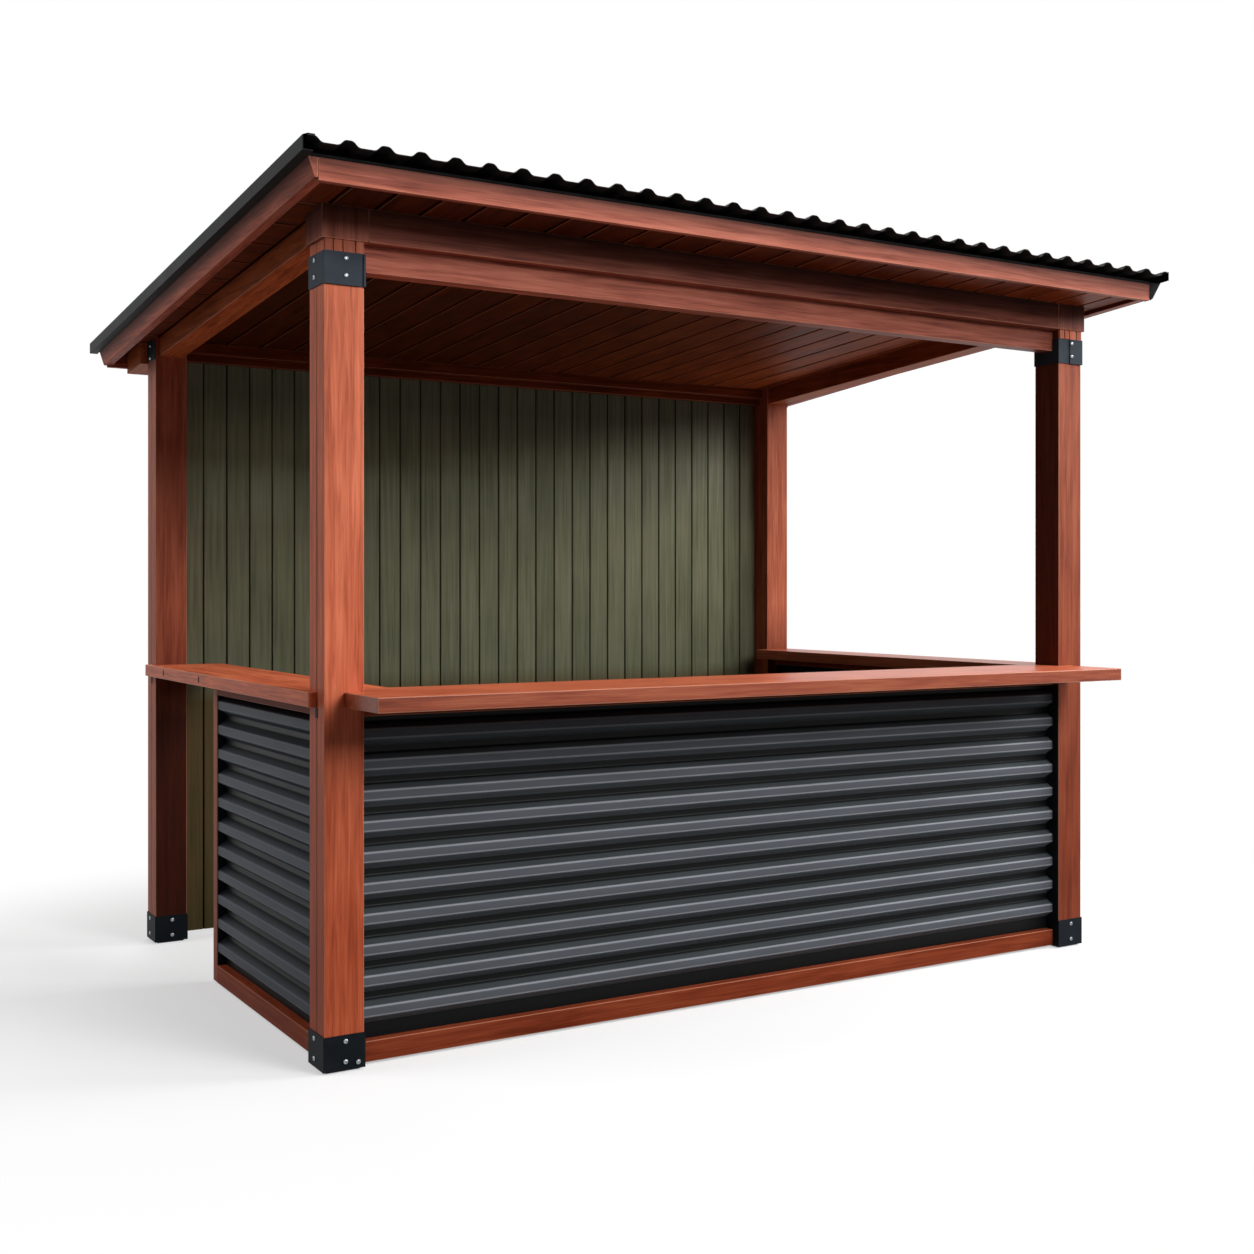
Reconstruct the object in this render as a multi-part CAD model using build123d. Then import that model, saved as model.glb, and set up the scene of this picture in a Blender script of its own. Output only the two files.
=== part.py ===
import os
from math import cos, radians, sin, tan

from build123d import *

# Garden bar pavilion: four posts, a lean-to roof, a boarded back and a
# counter round three sides over corrugated steel aprons.
# Millimetres, +X to the right along the front, +Y to the back, +Z up.

# Frame
frame_width = 3050
frame_depth = 1980
post_side = 120
kerf_width = 4
kerf_depth = 6
soffit_height = 2461
roof_fall = 155
soffit_fall = 122

# Steel shoes and brackets
plate = 3
shoe_height = 106
pad_height = 6
pad_inset = 10
bracket_height = 94
bracket_neck = 34
rear_bracket_height = 78

# Front beams and post caps
upper_beam_height = 97
lower_beam_height = 79
lower_beam_setback = 30
lower_beam_thick = 60
cap_proud = 10

# Side beams and rear rails
side_beam_width = 90
side_beam_height = 73
tail_proud = 28
tail_drop = 10
rear_beam_height = 38
rear_beam_thick = 60
wall_rail_height = 30
wall_rail_thick = 35

# Back wall
wall_thick = 20
wall_foot = 15

# Roof build-up, heights above the roof line
deck_thick = 20
batten_height = 42
batten_width = 50
batten_count = 3
batten_setback = 80
fascia_thick = 20
fascia_drop = 23
fascia_head = 44
fascia_reach = 241
fascia_end = 104
barge_drop = 15
barge_foot_thick = 31
barge_head_thick = 50
verge_reach = 162
eave_reach = 282
rear_reach = 277

# Roof sheet ribs
sheet_thick = 2
roof_pitch = 104.1
roof_first_rib = 25
roof_rib_height = 16
roof_crest_flat = 10
roof_crest_radius = 16
roof_flank_angle = 45

# Roof edge trims
trim_thick = 3
verge_leg_foot = 37
verge_leg_head = 77
verge_right_foot = 48
verge_flange = 20
verge_fold = 12
verge_hem = 15
drip_lip = 5

# Counter
counter_head = 1079
counter_thick = 44
counter_reach = 250
counter_back = 140
counter_side_proud = 25
counter_left_inner = 255
counter_right_inner = 185

# Aprons under the counter
rail_setback = 27
rail_thick = 45
rail_foot = 8
bottom_rail_height = 60
top_rail_height = 30
panel_setback = 30
panel_pitch = 89.3
panel_first_rib = 82
side_pitch = 84
side_first_rib = 62
panel_rib_height = 30
panel_crest_flat = 22
panel_crest_radius = 6
panel_flank_angle = 58
stud_width = 45
left_apron_length = 1015

left = -frame_width / 2
right = frame_width / 2
front = -frame_depth / 2
back = frame_depth / 2
roof_slope = roof_fall / frame_depth
soffit_slope = soffit_fall / frame_depth
inner_left = left + post_side
inner_right = right - post_side
lower_beam_head = soffit_height - upper_beam_height
lower_beam_foot = lower_beam_head - lower_beam_height
bracket_head = lower_beam_head - bracket_neck
bracket_foot = bracket_head - bracket_height
rear_beam_foot = soffit_height - soffit_fall - rear_beam_height
wall_rail_foot = rear_beam_foot - wall_rail_height
sheet_base = deck_thick + batten_height
fascia_front = front - fascia_reach
fascia_back = back + fascia_reach
eave_front = front - eave_reach
eave_back = back + rear_reach
barge_inner = fascia_end - fascia_thick
barge_span = barge_drop + fascia_head
counter_foot = counter_head - counter_thick
rail_head = rail_foot + bottom_rail_height
top_rail_foot = counter_foot - top_rail_height
shoe_floor = pad_height + plate
entry_stud = front + post_side + left_apron_length
rib_roof = (roof_rib_height, roof_crest_flat, roof_crest_radius, roof_flank_angle)
rib_panel = (panel_rib_height, panel_crest_flat, panel_crest_radius, panel_flank_angle)
corner = (Align.MIN, Align.MIN, Align.MIN)


def soffit(y):
    """Height of the boarded ceiling at depth y."""
    return soffit_height - soffit_slope * (y - front)


def roof_line(y):
    """Height of the line that the roof's edges and sheet follow at depth y."""
    return soffit_height - roof_slope * (y - front)


def block(x0, x1, y0, y1, z0, z1):
    """Straight-sided block between two corners."""
    return Pos(x0, y0, z0) * Box(x1 - x0, y1 - y0, z1 - z0, align=corner)


def across(x0, x1, points):
    """Piece with a (y, z) section carried from x0 to x1."""
    face = Plane.YZ * outline(*points)
    return Pos(x0, 0, 0) * extrude(face, x1 - x0)


def raked(y0, y1, face):
    """Piece with an (x, height above roof line) section carried down the roof."""
    plane = Plane(origin=(0, y0, roof_line(y0)), x_dir=(1, 0, 0), z_dir=(0, -1, 0))
    return Solid.extrude(plane * face, (0, y1 - y0, roof_line(y1) - roof_line(y0)))


def outline(*points):
    """Closed face through the points."""
    return make_face(Polyline(*points, close=True)).face()


def under_roof(x0, x1, y0, y1, z0):
    """Block whose top is cut to the slope of the roof."""
    return across(x0, x1, [(y0, z0), (y1, z0), (y1, soffit(y1)), (y0, soffit(y0))])


def layer(line, x0, x1, y0, y1, low, high):
    """Sloped layer between two heights above a line, cut plumb."""
    near, far = line(y0), line(y1)
    return across(x0, x1, [(y0, near + low), (y1, far + low), (y1, far + high), (y0, near + high)])


def rib_edges(centre, rib, drop):
    """Edges of one rib with rounded shoulders, and the places where it starts and ends."""
    height, flat, radius, angle = rib
    turn = radians(angle)
    half = radians(angle / 2)
    neck_height = height - radius * (1 - cos(turn))
    run = radius * sin(turn) + neck_height / tan(turn)
    sides = []
    for side in (-1, 1):
        top = centre + side * flat / 2
        toe = (top + side * run, -drop)
        neck = (top + side * radius * sin(turn), neck_height - drop)
        bend = (top + side * radius * sin(half), height - radius * (1 - cos(half)) - drop)
        brow = (top, height - drop)
        sides.append(([Line(toe, neck), ThreePointArc(neck, bend, brow)], brow, toe))
    (left_edges, left_brow, start), (right_edges, right_brow, end) = sides
    return left_edges + [Line(left_brow, right_brow)] + right_edges, start, end


def ribbed_face(start, end, first, pitch, count, rib):
    """Section of a ribbed sheet: a rib line and the same line one thickness lower."""
    edges = []
    for drop in (0, sheet_thick):
        at = (start, -drop)
        for i in range(count):
            ribs, toe_in, toe_out = rib_edges(first + i * pitch, rib, drop)
            edges += [Line(at, toe_in)] + ribs
            at = toe_out
        edges.append(Line(at, (end, -drop)))
    edges += [Line((start, 0), (start, -sheet_thick)), Line((end, 0), (end, -sheet_thick))]
    return Face(Wire(edges))


def kerf(x, y):
    """Relief saw cut up the middle of a post's outer face."""
    mid = y + (post_side - kerf_width) / 2
    face = x if x == left else x + post_side - kerf_depth
    return block(face, face + kerf_depth, mid, mid + kerf_width, 0, soffit_height)


def post_front(x):
    """Front post, standing in its shoe and ending under the cap."""
    post = block(x, x + post_side, front, front + post_side, shoe_floor, lower_beam_head)
    return post - kerf(x, front)


def post_rear(x, beam):
    """Rear post, forked at the top to hold the side beam."""
    post = under_roof(x, x + post_side, back - post_side, back, shoe_floor)
    return post - kerf(x, back - post_side) - beam


def sleeve(x, y, z0, z1):
    """Square plate wrap round a post."""
    outer = block(x - plate, x + post_side + plate, y - plate, y + post_side + plate, z0, z1)
    return outer - block(x, x + post_side, y, y + post_side, z0, z1)


def shoe(x, y):
    """Post shoe: wrap, floor and a smaller pad that stands on the ground."""
    side = post_side + plate
    wrap = block(x - plate, x + side, y - plate, y + side, pad_height, shoe_height)
    wrap -= block(x, x + post_side, y, y + post_side, shoe_floor, shoe_height)
    span = post_side - pad_inset
    return wrap + block(x + pad_inset, x + span, y + pad_inset, y + span, 0, pad_height)


def side_beam(side):
    """Sloped beam from the cap to the rear fascia, with a wider and deeper tail behind the post."""
    inset = (post_side - side_beam_width) / 2
    y0 = front + post_side + cap_proud
    y1 = fascia_back - fascia_thick
    outer = side * (right - inset)
    inner = outer - side * side_beam_width
    tail = side * (right + tail_proud)
    beam = layer(soffit, min(outer, inner), max(outer, inner), y0, y1, -side_beam_height, 0)
    depth = side_beam_height + tail_drop
    return beam + layer(soffit, min(tail, inner), max(tail, inner), back, y1, -depth, 0)


def barge(side):
    """Bargeboard with a splayed outer face, thicker at the top."""
    x0 = side * (right + barge_inner)
    foot = x0 + side * barge_foot_thick
    head = x0 + side * barge_head_thick
    face = outline((x0, -barge_drop), (foot, -barge_drop), (head, fascia_head), (x0, fascia_head))
    return raked(fascia_front, fascia_back, face)


def splay(side, height):
    """Place on a bargeboard's splayed face at a height above the roof line."""
    share = (height + barge_drop) / barge_span
    thick = barge_foot_thick + share * (barge_head_thick - barge_foot_thick)
    return (side * (right + barge_inner + thick), height)


def verge_left():
    """Left verge trim: flange on the first rib, leg and level return to the board."""
    out = left - verge_reach
    inn = out + trim_thick
    crest = sheet_base + sheet_thick + roof_rib_height
    fold = inn + verge_fold
    tip = out + roof_first_rib + verge_flange / 2
    shelf = verge_leg_foot + trim_thick
    face = outline(
        (tip, crest), (fold, crest), (inn, verge_leg_head), (inn, shelf), splay(-1, shelf),
        splay(-1, verge_leg_foot), (out, verge_leg_foot), (out, verge_leg_head),
        (fold, crest + trim_thick), (tip, crest + trim_thick))
    return raked(eave_front, eave_back, face)


def verge_right():
    """Right verge trim: leg, slanted wing down to the board's foot and an end flap."""
    out = right + verge_reach
    inn = out - trim_thick
    end = right + fascia_end
    crest = sheet_base + sheet_thick + roof_rib_height
    foot_x, foot_z = splay(1, -barge_drop)
    hem_x, hem_z = splay(1, verge_hem - barge_drop)
    leg = outline((inn, crest), (inn, verge_right_foot), (out, verge_right_foot), (out, crest))
    wing = outline(
        (inn, verge_right_foot), (hem_x, hem_z), (foot_x, foot_z), (foot_x + trim_thick, foot_z),
        (out, verge_right_foot))
    flap = outline(
        (end, -fascia_drop), (foot_x + trim_thick, foot_z), (out, verge_right_foot),
        (inn, verge_right_foot), (end, fascia_head))
    trim = raked(eave_front, eave_back, leg) + raked(fascia_front, fascia_back, wing)
    return trim + raked(fascia_front - trim_thick, fascia_front, flap)


def roof_sheet():
    """Ribbed roof sheet lying on the battens between the verge trims."""
    x0 = left - verge_reach
    first = x0 + roof_first_rib - roof_pitch
    width = frame_width + verge_reach + verge_reach
    count = int(width / roof_pitch) + 3
    start = first - roof_pitch
    face = ribbed_face(start, first + count * roof_pitch, first, roof_pitch, count, rib_roof)
    sheet = raked(eave_front, eave_back, Pos(0, sheet_base + sheet_thick) * face)
    x1 = right + verge_reach - trim_thick
    keep = block(x0 + trim_thick, x1, eave_front, eave_back, 0, soffit_height * 2)
    return sheet & keep


def fascia(y):
    """Fascia board across the roof's end, its face at depth y."""
    end = right + fascia_end
    return layer(roof_line, -end, end, y, y + fascia_thick, -fascia_drop, fascia_head)


def drip_edge():
    """Thin capping on the front fascia with a lip over its face."""
    x0 = splay(-1, verge_leg_foot)[0]
    x1 = right + fascia_end
    y0 = fascia_front - trim_thick
    head = fascia_head + trim_thick
    capping = layer(roof_line, x0, x1, y0, fascia_front + fascia_thick, fascia_head, head)
    return capping + layer(roof_line, x0, x1, y0, fascia_front, fascia_head - drip_lip, head)


def batten(i):
    """Tapered roof batten number i, counted from the front."""
    y0 = fascia_front + fascia_thick + batten_setback
    gap = (fascia_back - fascia_thick - batten_width - y0) / (batten_count - 1)
    near = y0 + i * gap
    far = near + batten_width
    section = [(near, soffit(near) + deck_thick), (far, soffit(far) + deck_thick),
               (far, roof_line(far) + sheet_base), (near, roof_line(near) + sheet_base)]
    return across(left - barge_inner, right + barge_inner, section)


def counter_front():
    """Front counter, notched round the front posts and ending at their middles."""
    mid = post_side / 2
    face = outline(
        (left + mid, front - counter_reach), (right - mid, front - counter_reach), (right - mid, front),
        (inner_right, front), (inner_right, front + counter_back), (inner_left, front + counter_back),
        (inner_left, front), (left + mid, front))
    return Pos(0, 0, counter_foot) * extrude(face, counter_thick)


def counter_side(side, width):
    """Side counter from front post to rear post, its end against the rear post."""
    mid = post_side / 2
    edge = right + counter_side_proud
    inner = right - width
    points = [
        (edge, front + mid), (edge, back - mid), (right, back - mid), (right, back - post_side),
        (inner, back - post_side), (inner, front + counter_back), (inner_right, front + counter_back),
        (inner_right, front + post_side), (right, front + post_side), (right, front + mid)]
    face = outline(*[(side * x, y) for x, y in points])
    return Pos(0, 0, counter_foot) * extrude(face, counter_thick)


def panel_face(first, pitch):
    """Section of an apron sheet: height along x, depth of the ribs along y."""
    length = top_rail_foot - rail_head
    count = int((length - first) / pitch) + 1
    return ribbed_face(0, length, first, pitch, count, rib_panel)


def panel_front():
    """Front apron sheet between the posts, ribs level."""
    depth = front + panel_setback + panel_rib_height
    plane = Plane(origin=(inner_left, depth, rail_head), x_dir=(0, 0, 1), z_dir=(1, 0, 0))
    face = plane * panel_face(panel_first_rib, panel_pitch)
    return Solid.extrude(face, (inner_right - inner_left, 0, 0))


def panel_side(side, y0, y1):
    """Side apron sheet from y0 to y1, ribs level and facing out."""
    depth = side * (right - panel_setback - panel_rib_height)
    plane = Plane(origin=(depth, y0, rail_head), x_dir=(0, 0, 1), z_dir=(0, side, 0))
    face = plane * panel_face(side_first_rib, side_pitch)
    return Solid.extrude(face, (0, y1 - y0, 0))


def rail_front(z0, z1):
    """Level rail between the front posts."""
    y0 = front + rail_setback
    return block(inner_left, inner_right, y0, y0 + rail_thick, z0, z1)


def rail_side(side, y0, y1, z0, z1):
    """Level rail along one side."""
    outer = side * (right - rail_setback)
    inner = outer - side * rail_thick
    return block(min(outer, inner), max(outer, inner), y0, y1, z0, z1)


def rail_gap(rail):
    """Gap in a shoe over a rail's end, open upwards for the apron sheet."""
    low, high = rail.bounding_box().min, rail.bounding_box().max
    return block(low.X, high.X, low.Y, high.Y, low.Z, shoe_height)


def make_parts():
    """All pieces by name."""
    near = front + post_side
    far = back - post_side
    soffit_left = left - barge_inner
    soffit_right = right + barge_inner
    wall = under_roof(inner_left, inner_right, back - wall_thick, back, wall_foot)
    beam_left = side_beam(-1)
    beam_right = side_beam(1)
    beam_y = front + lower_beam_setback
    beam_back = beam_y + lower_beam_thick
    lower = block(inner_left, inner_right, beam_y, beam_back, lower_beam_foot, lower_beam_head)
    cap_front = front - cap_proud
    upper_left = inner_left + cap_proud
    upper_right = inner_right - cap_proud
    upper = under_roof(upper_left, upper_right, cap_front, beam_back, lower_beam_head)
    wall_front = back - wall_thick
    rear_beam_y = wall_front - rear_beam_thick
    rear_beam = under_roof(inner_left, inner_right, rear_beam_y, wall_front, rear_beam_foot)
    rail_front_y = wall_front - wall_rail_thick
    wall_rail = block(inner_left, inner_right, rail_front_y, wall_front, wall_rail_foot, rear_beam_foot)
    facing = fascia(fascia_front)
    tail = fascia(fascia_back - fascia_thick)
    low_front = rail_front(rail_foot, rail_head)
    low_left = rail_side(-1, near, entry_stud, rail_foot, rail_head)
    low_right = rail_side(1, near, far, rail_foot, rail_head)
    parts = {
        "post_front_left": post_front(left),
        "post_front_right": post_front(inner_right),
        "post_rear_left": post_rear(left, beam_left),
        "post_rear_right": post_rear(inner_right, beam_right),
        "front_beam_lower": lower,
        "front_beam_upper": upper,
        "side_beam_left": beam_left,
        "side_beam_right": beam_right,
        "rear_beam": rear_beam,
        "wall_rail": wall_rail,
        "back_wall": wall,
        "fascia_front": facing,
        "fascia_rear": tail,
        "bargeboard_left": barge(-1) - facing - tail,
        "bargeboard_right": barge(1) - facing - tail,
        "verge_trim_left": verge_left(),
        "verge_trim_right": verge_right(),
        "drip_edge": drip_edge(),
        "roof_sheet": roof_sheet(),
        "counter_front": counter_front(),
        "counter_left": counter_side(-1, counter_left_inner),
        "counter_right": counter_side(1, counter_right_inner),
        "panel_front": panel_front(),
        "panel_left": panel_side(-1, near, entry_stud),
        "panel_right": panel_side(1, near, far),
        "bottom_rail_front": low_front,
        "bottom_rail_left": low_left,
        "bottom_rail_right": low_right,
        "top_rail_front": rail_front(top_rail_foot, counter_foot),
        "top_rail_left": rail_side(-1, near, entry_stud, top_rail_foot, counter_foot),
        "top_rail_right": rail_side(1, near, far, top_rail_foot, counter_foot),
        "end_stud": rail_side(-1, entry_stud, entry_stud + stud_width, rail_foot, counter_foot),
    }
    deck_front = fascia_front + fascia_thick
    deck_back = fascia_back - fascia_thick
    parts["roof_deck"] = layer(soffit, soffit_left, soffit_right, deck_front, deck_back, 0, deck_thick)
    for i in range(batten_count):
        parts[f"roof_batten_{i + 1}"] = batten(i)
    for name, x in (("left", left), ("right", inner_right)):
        cap_x = x - cap_proud
        cap_end = x + post_side + cap_proud
        parts[f"post_cap_{name}"] = under_roof(cap_x, cap_end, cap_front, near + cap_proud, lower_beam_head)
        parts[f"bracket_front_{name}"] = sleeve(x, front, bracket_foot, bracket_head) - lower
        outer = x - plate if name == "left" else x + post_side
        strap_head = soffit(back)
        parts[f"bracket_rear_{name}"] = block(
            outer, outer + plate, far, back, strap_head - rear_bracket_height, strap_head)
        side = -1 if name == "left" else 1
        low_side = rail_side(side, near, far, rail_foot, rail_head)
        foot_front = shoe(x, front) - rail_gap(low_front) - rail_gap(low_side)
        foot_rear = shoe(x, far) - wall
        if name == "right":
            foot_rear -= rail_gap(low_right)
        parts[f"shoe_front_{name}"] = foot_front
        parts[f"shoe_rear_{name}"] = foot_rear
    return parts


def main():
    """Set the origin under the middle of the whole and write every piece."""
    parts = make_parts()
    whole = Compound(list(parts.values())).bounding_box()
    shift = Pos(-whole.center().X, -whole.center().Y, -whole.min.Z)
    os.makedirs("parts", exist_ok=True)
    for name, shape in parts.items():
        export_step(shift * shape, f"parts/{name}.step")
    print(len(parts), whole.min, whole.max, shift.position)


main()
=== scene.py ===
# %% [markdown]
# # A garden bar pavilion
# Four stained posts carry a lean-to roof with a ribbed steel covering. The back
# is closed with painted boards, and a counter runs round the other three sides
# over ribbed steel aprons. The solid pieces come from the frame, and this lesson
# dresses them: boards, rounded arrises, wood grain, painted and coated steel,
# screws, light and floor.

import math

import bmesh
import bpy
import numpy as np
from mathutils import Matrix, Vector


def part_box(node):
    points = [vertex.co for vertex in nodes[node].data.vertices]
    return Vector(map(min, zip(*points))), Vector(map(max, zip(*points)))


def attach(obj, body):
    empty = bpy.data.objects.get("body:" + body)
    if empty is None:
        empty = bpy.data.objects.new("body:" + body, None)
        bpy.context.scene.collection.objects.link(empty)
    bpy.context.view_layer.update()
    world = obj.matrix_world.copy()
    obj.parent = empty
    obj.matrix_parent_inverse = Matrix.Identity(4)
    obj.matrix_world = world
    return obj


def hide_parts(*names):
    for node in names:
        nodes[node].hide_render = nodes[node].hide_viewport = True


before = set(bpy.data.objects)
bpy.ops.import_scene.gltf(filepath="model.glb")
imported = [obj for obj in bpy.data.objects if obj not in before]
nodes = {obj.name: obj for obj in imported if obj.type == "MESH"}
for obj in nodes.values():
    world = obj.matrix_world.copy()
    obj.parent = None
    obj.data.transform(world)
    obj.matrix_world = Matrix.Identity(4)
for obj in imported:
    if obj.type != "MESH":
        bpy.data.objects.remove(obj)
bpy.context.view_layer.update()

# %% [markdown]
# ## The camera
# The photograph was taken level, because its posts are parallel. A level camera with
# a small vertical shift keeps them upright, where tilting it would make them lean
# together.

# %% Camera
FRAME_PIXELS = 1254
SENSOR = 36.0
CAMERA_PLACE = (-3.0293, -5.1072, 1.3743)
CAMERA_TURN = 0.54626
FOCAL_PIXELS = 1524.7
HORIZON_ROW = 588.5

# Looks along (sin turn, cos turn, 0). Shift = (horizon row - middle row) / picture height.
lens = bpy.data.cameras.new("photo_camera")
lens.sensor_width = SENSOR
lens.lens = FOCAL_PIXELS / FRAME_PIXELS * SENSOR
lens.shift_y = (HORIZON_ROW - FRAME_PIXELS / 2) / FRAME_PIXELS
camera = bpy.data.objects.new("photo_camera", lens)
camera.location = CAMERA_PLACE
camera.rotation_euler = (math.pi / 2, 0, -CAMERA_TURN)
bpy.context.scene.collection.objects.link(camera)
bpy.context.scene.camera = camera
print("lens", round(lens.lens, 2), "shift", round(lens.shift_y, 4))

# %% [markdown]
# ## The measures that the dressing needs
# Everything below hangs on a few lines of the frame: the roof's underside and its
# slope, and the outer faces of the posts. They are read from the frame's own boxes,
# so the dressing follows if a size changes.

# %% Measures
DECK_THICK = 0.020
ROOF_FALL = 0.155 / 1.980  # metres down per metre back, over the depth of the posts
post_low, post_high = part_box("post_front_left")
LEFT, FRONT = post_low.x, post_low.y
RIGHT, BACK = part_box("post_rear_right")[1].x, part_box("post_rear_right")[1].y
POST = post_high.x - post_low.x
deck_low, deck_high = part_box("roof_deck")
SLOPE = (deck_high.z - deck_low.z - DECK_THICK) / (deck_high.y - deck_low.y)


def soffit(y):
    """Height of the roof's underside: the front height less slope x distance."""
    return deck_high.z - DECK_THICK - SLOPE * (y - deck_low.y)


def roof_line(y):
    """Height of the line that the roof's edges follow: the soffit at the posts less fall x distance."""
    return soffit(FRONT) - ROOF_FALL * (y - FRONT)


print("slope", round(SLOPE, 4), "soffit at the front posts", round(soffit(FRONT), 4))

# %% [markdown]
# ## Writing materials as short sentences
# A material is a small network, and wiring it by hand takes many lines. One helper
# turns a screen colour into the linear values that the shader works with, and the
# others add a node and feed its inputs.

# %% Material helpers
def tone(red, green, blue):
    """Linear colour from screen values: c / 12.92 when dark, else ((c + 0.055) / 1.055) ^ 2.4."""
    c = np.array([red, green, blue]) / 255
    linear = np.where(c <= 0.04045, c / 12.92, ((c + 0.055) / 1.055) ** 2.4)
    return (*linear.tolist(), 1.0)


def feed(tree, inputs, given):
    """Links a socket, or sets a value, on each input that is named."""
    for key, value in given.items():
        if isinstance(value, bpy.types.NodeSocket):
            tree.links.new(value, inputs[key])
        else:
            inputs[key].default_value = value


def add(tree, kind, given=None, **settings):
    """New node of a kind, with its settings, and values or sockets for its inputs."""
    made = tree.nodes.new("ShaderNode" + kind)
    for key, value in settings.items():
        setattr(made, key, value)
    feed(tree, made.inputs, given or {})
    return made


def blank(name):
    """Material with an empty finish: its tree, its shader and the object's own coordinates."""
    material = bpy.data.materials.new(name)
    material.use_nodes = True
    tree = material.node_tree
    place = add(tree, "TexCoord").outputs["Object"]
    return material, tree, tree.nodes["Principled BSDF"], place


def plug(tree, shader, **given):
    """Feeds the shader, with _ for the spaces in its inputs' names."""
    feed(tree, shader.inputs, {key.replace("_", " "): value for key, value in given.items()})


print("helpers ready, mid grey is", round(tone(128, 128, 128)[0], 3))

# %% [markdown]
# ## Patterns, ranges and mixes
# Wood, paint and dust come from the same few moves: take noise, stretch it along
# the piece, turn it into colours with a ramp, then make them lighter or darker by
# a value that is stored on the piece.

# %% Pattern helpers
def attribute(tree, name):
    """Value of a mark that is stored on the mesh, 0 where a piece has none."""
    return add(tree, "Attribute", attribute_name=name).outputs["Fac"]


def slid(tree, place, board, step):
    """Place + board number x step, so that each board shows another part of the pattern."""
    slide = add(tree, "VectorMath", {0: step, "Scale": board}, operation="SCALE").outputs[0]
    return add(tree, "VectorMath", {0: place, 1: slide}, operation="ADD").outputs[0]


def stretched(tree, place, scale):
    """Place x scale, which draws a pattern out along the axes with a small scale."""
    return add(tree, "Mapping", {"Vector": place, "Scale": scale}).outputs[0]


def noise(tree, place, scale, detail, **more):
    """Noise from 0 to 1 at a place."""
    return add(tree, "TexNoise", {"Vector": place, "Scale": scale, "Detail": detail, **more}).outputs["Fac"]


def ramp(tree, factor, stops):
    """Colour ramp through (place, colour) stops."""
    made = add(tree, "ValToRGB", {"Fac": factor})
    spots = made.color_ramp.elements
    while len(spots) < len(stops):
        spots.new(0.5)
    for spot, (place, colour) in zip(spots, stops):
        spot.position = place
        spot.color = colour
    return made.outputs["Color"]


def ranged(tree, value, start, end):
    """0 where a value is at start and 1 where it is at end, held beyond both."""
    return add(tree, "MapRange", {"Value": value, "From Min": start, "From Max": end}).outputs["Result"]


def spread(tree, value, low, high):
    """Value from 0 to 1 stretched to run from low to high."""
    return add(tree, "MapRange", {"Value": value, "To Min": low, "To Max": high}).outputs["Result"]


def product(tree, first, second):
    """First x second."""
    return add(tree, "Math", {0: first, 1: second}, operation="MULTIPLY").outputs[0]


def summed(tree, value, share, rest):
    """Value x share + rest."""
    return add(tree, "Math", {0: value, 1: share, 2: rest}, operation="MULTIPLY_ADD").outputs[0]


def mixed(tree, factor, first, second, blend="MIX"):
    """First colour, turning into the second, or into first x second, as the factor goes from 0 to 1."""
    given = {"Factor": factor, 6: first, 7: second}
    return add(tree, "Mix", given, data_type="RGBA", blend_type=blend).outputs[2]


def brightened(tree, colour, value):
    """Colour x value."""
    return add(tree, "HueSaturation", {"Color": colour, "Value": value}).outputs[0]


def bumped(tree, height, strength, distance):
    """Normals of a surface with a fine relief."""
    return add(tree, "Bump", {"Height": height, "Strength": strength, "Distance": distance}).outputs[0]


print("pattern helpers ready")

# %% [markdown]
# ## Stained timber
# The frame is softwood under a red-brown stain. Grain is noise that is stretched
# along the board: broad streaks carry the colour, fine pores the roughness and the
# bump. Marks on the pieces change it. The board number slides the noise and shifts
# the tone, so that no two boards match, painted shade darkens marked pieces and faces,
# and the posts get darker towards the foot, as painted shade under the counter on the
# rear posts. The arris gets a paler cousin of the same wood, for wear and a painted highlight.

# %% Stained timber
DARKEST, PALEST = 0.20, 1.60
# Painted shade: marked points and faces darken down to this share of their colour.
PAINTED_SHADE_TONE = 0.12
STREAK_SHRINK, PORE_SHRINK = 0.05, 0.018
GRAIN_STOPS = 0.36, 0.50, 0.64
# Painted light along x: roof timbers are darker at the right and lighter at the left between these x.
PAINTED_LIGHT_FROM, PAINTED_LIGHT_TO = 1.6, -1.6
# Pale tone of the arris: partly wear, partly a painted highlight.
WORN_AND_HIGHLIGHT_WOOD = tone(214, 150, 120)
# Posts get darker towards the foot: (darker from, darkest below, foot tone).
FRONT_FOOT_DARKENING = 1.55, 0.40, (0.72, 0.56, 0.46, 1.0)
EVEN = (1.0, 1.0)


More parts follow.
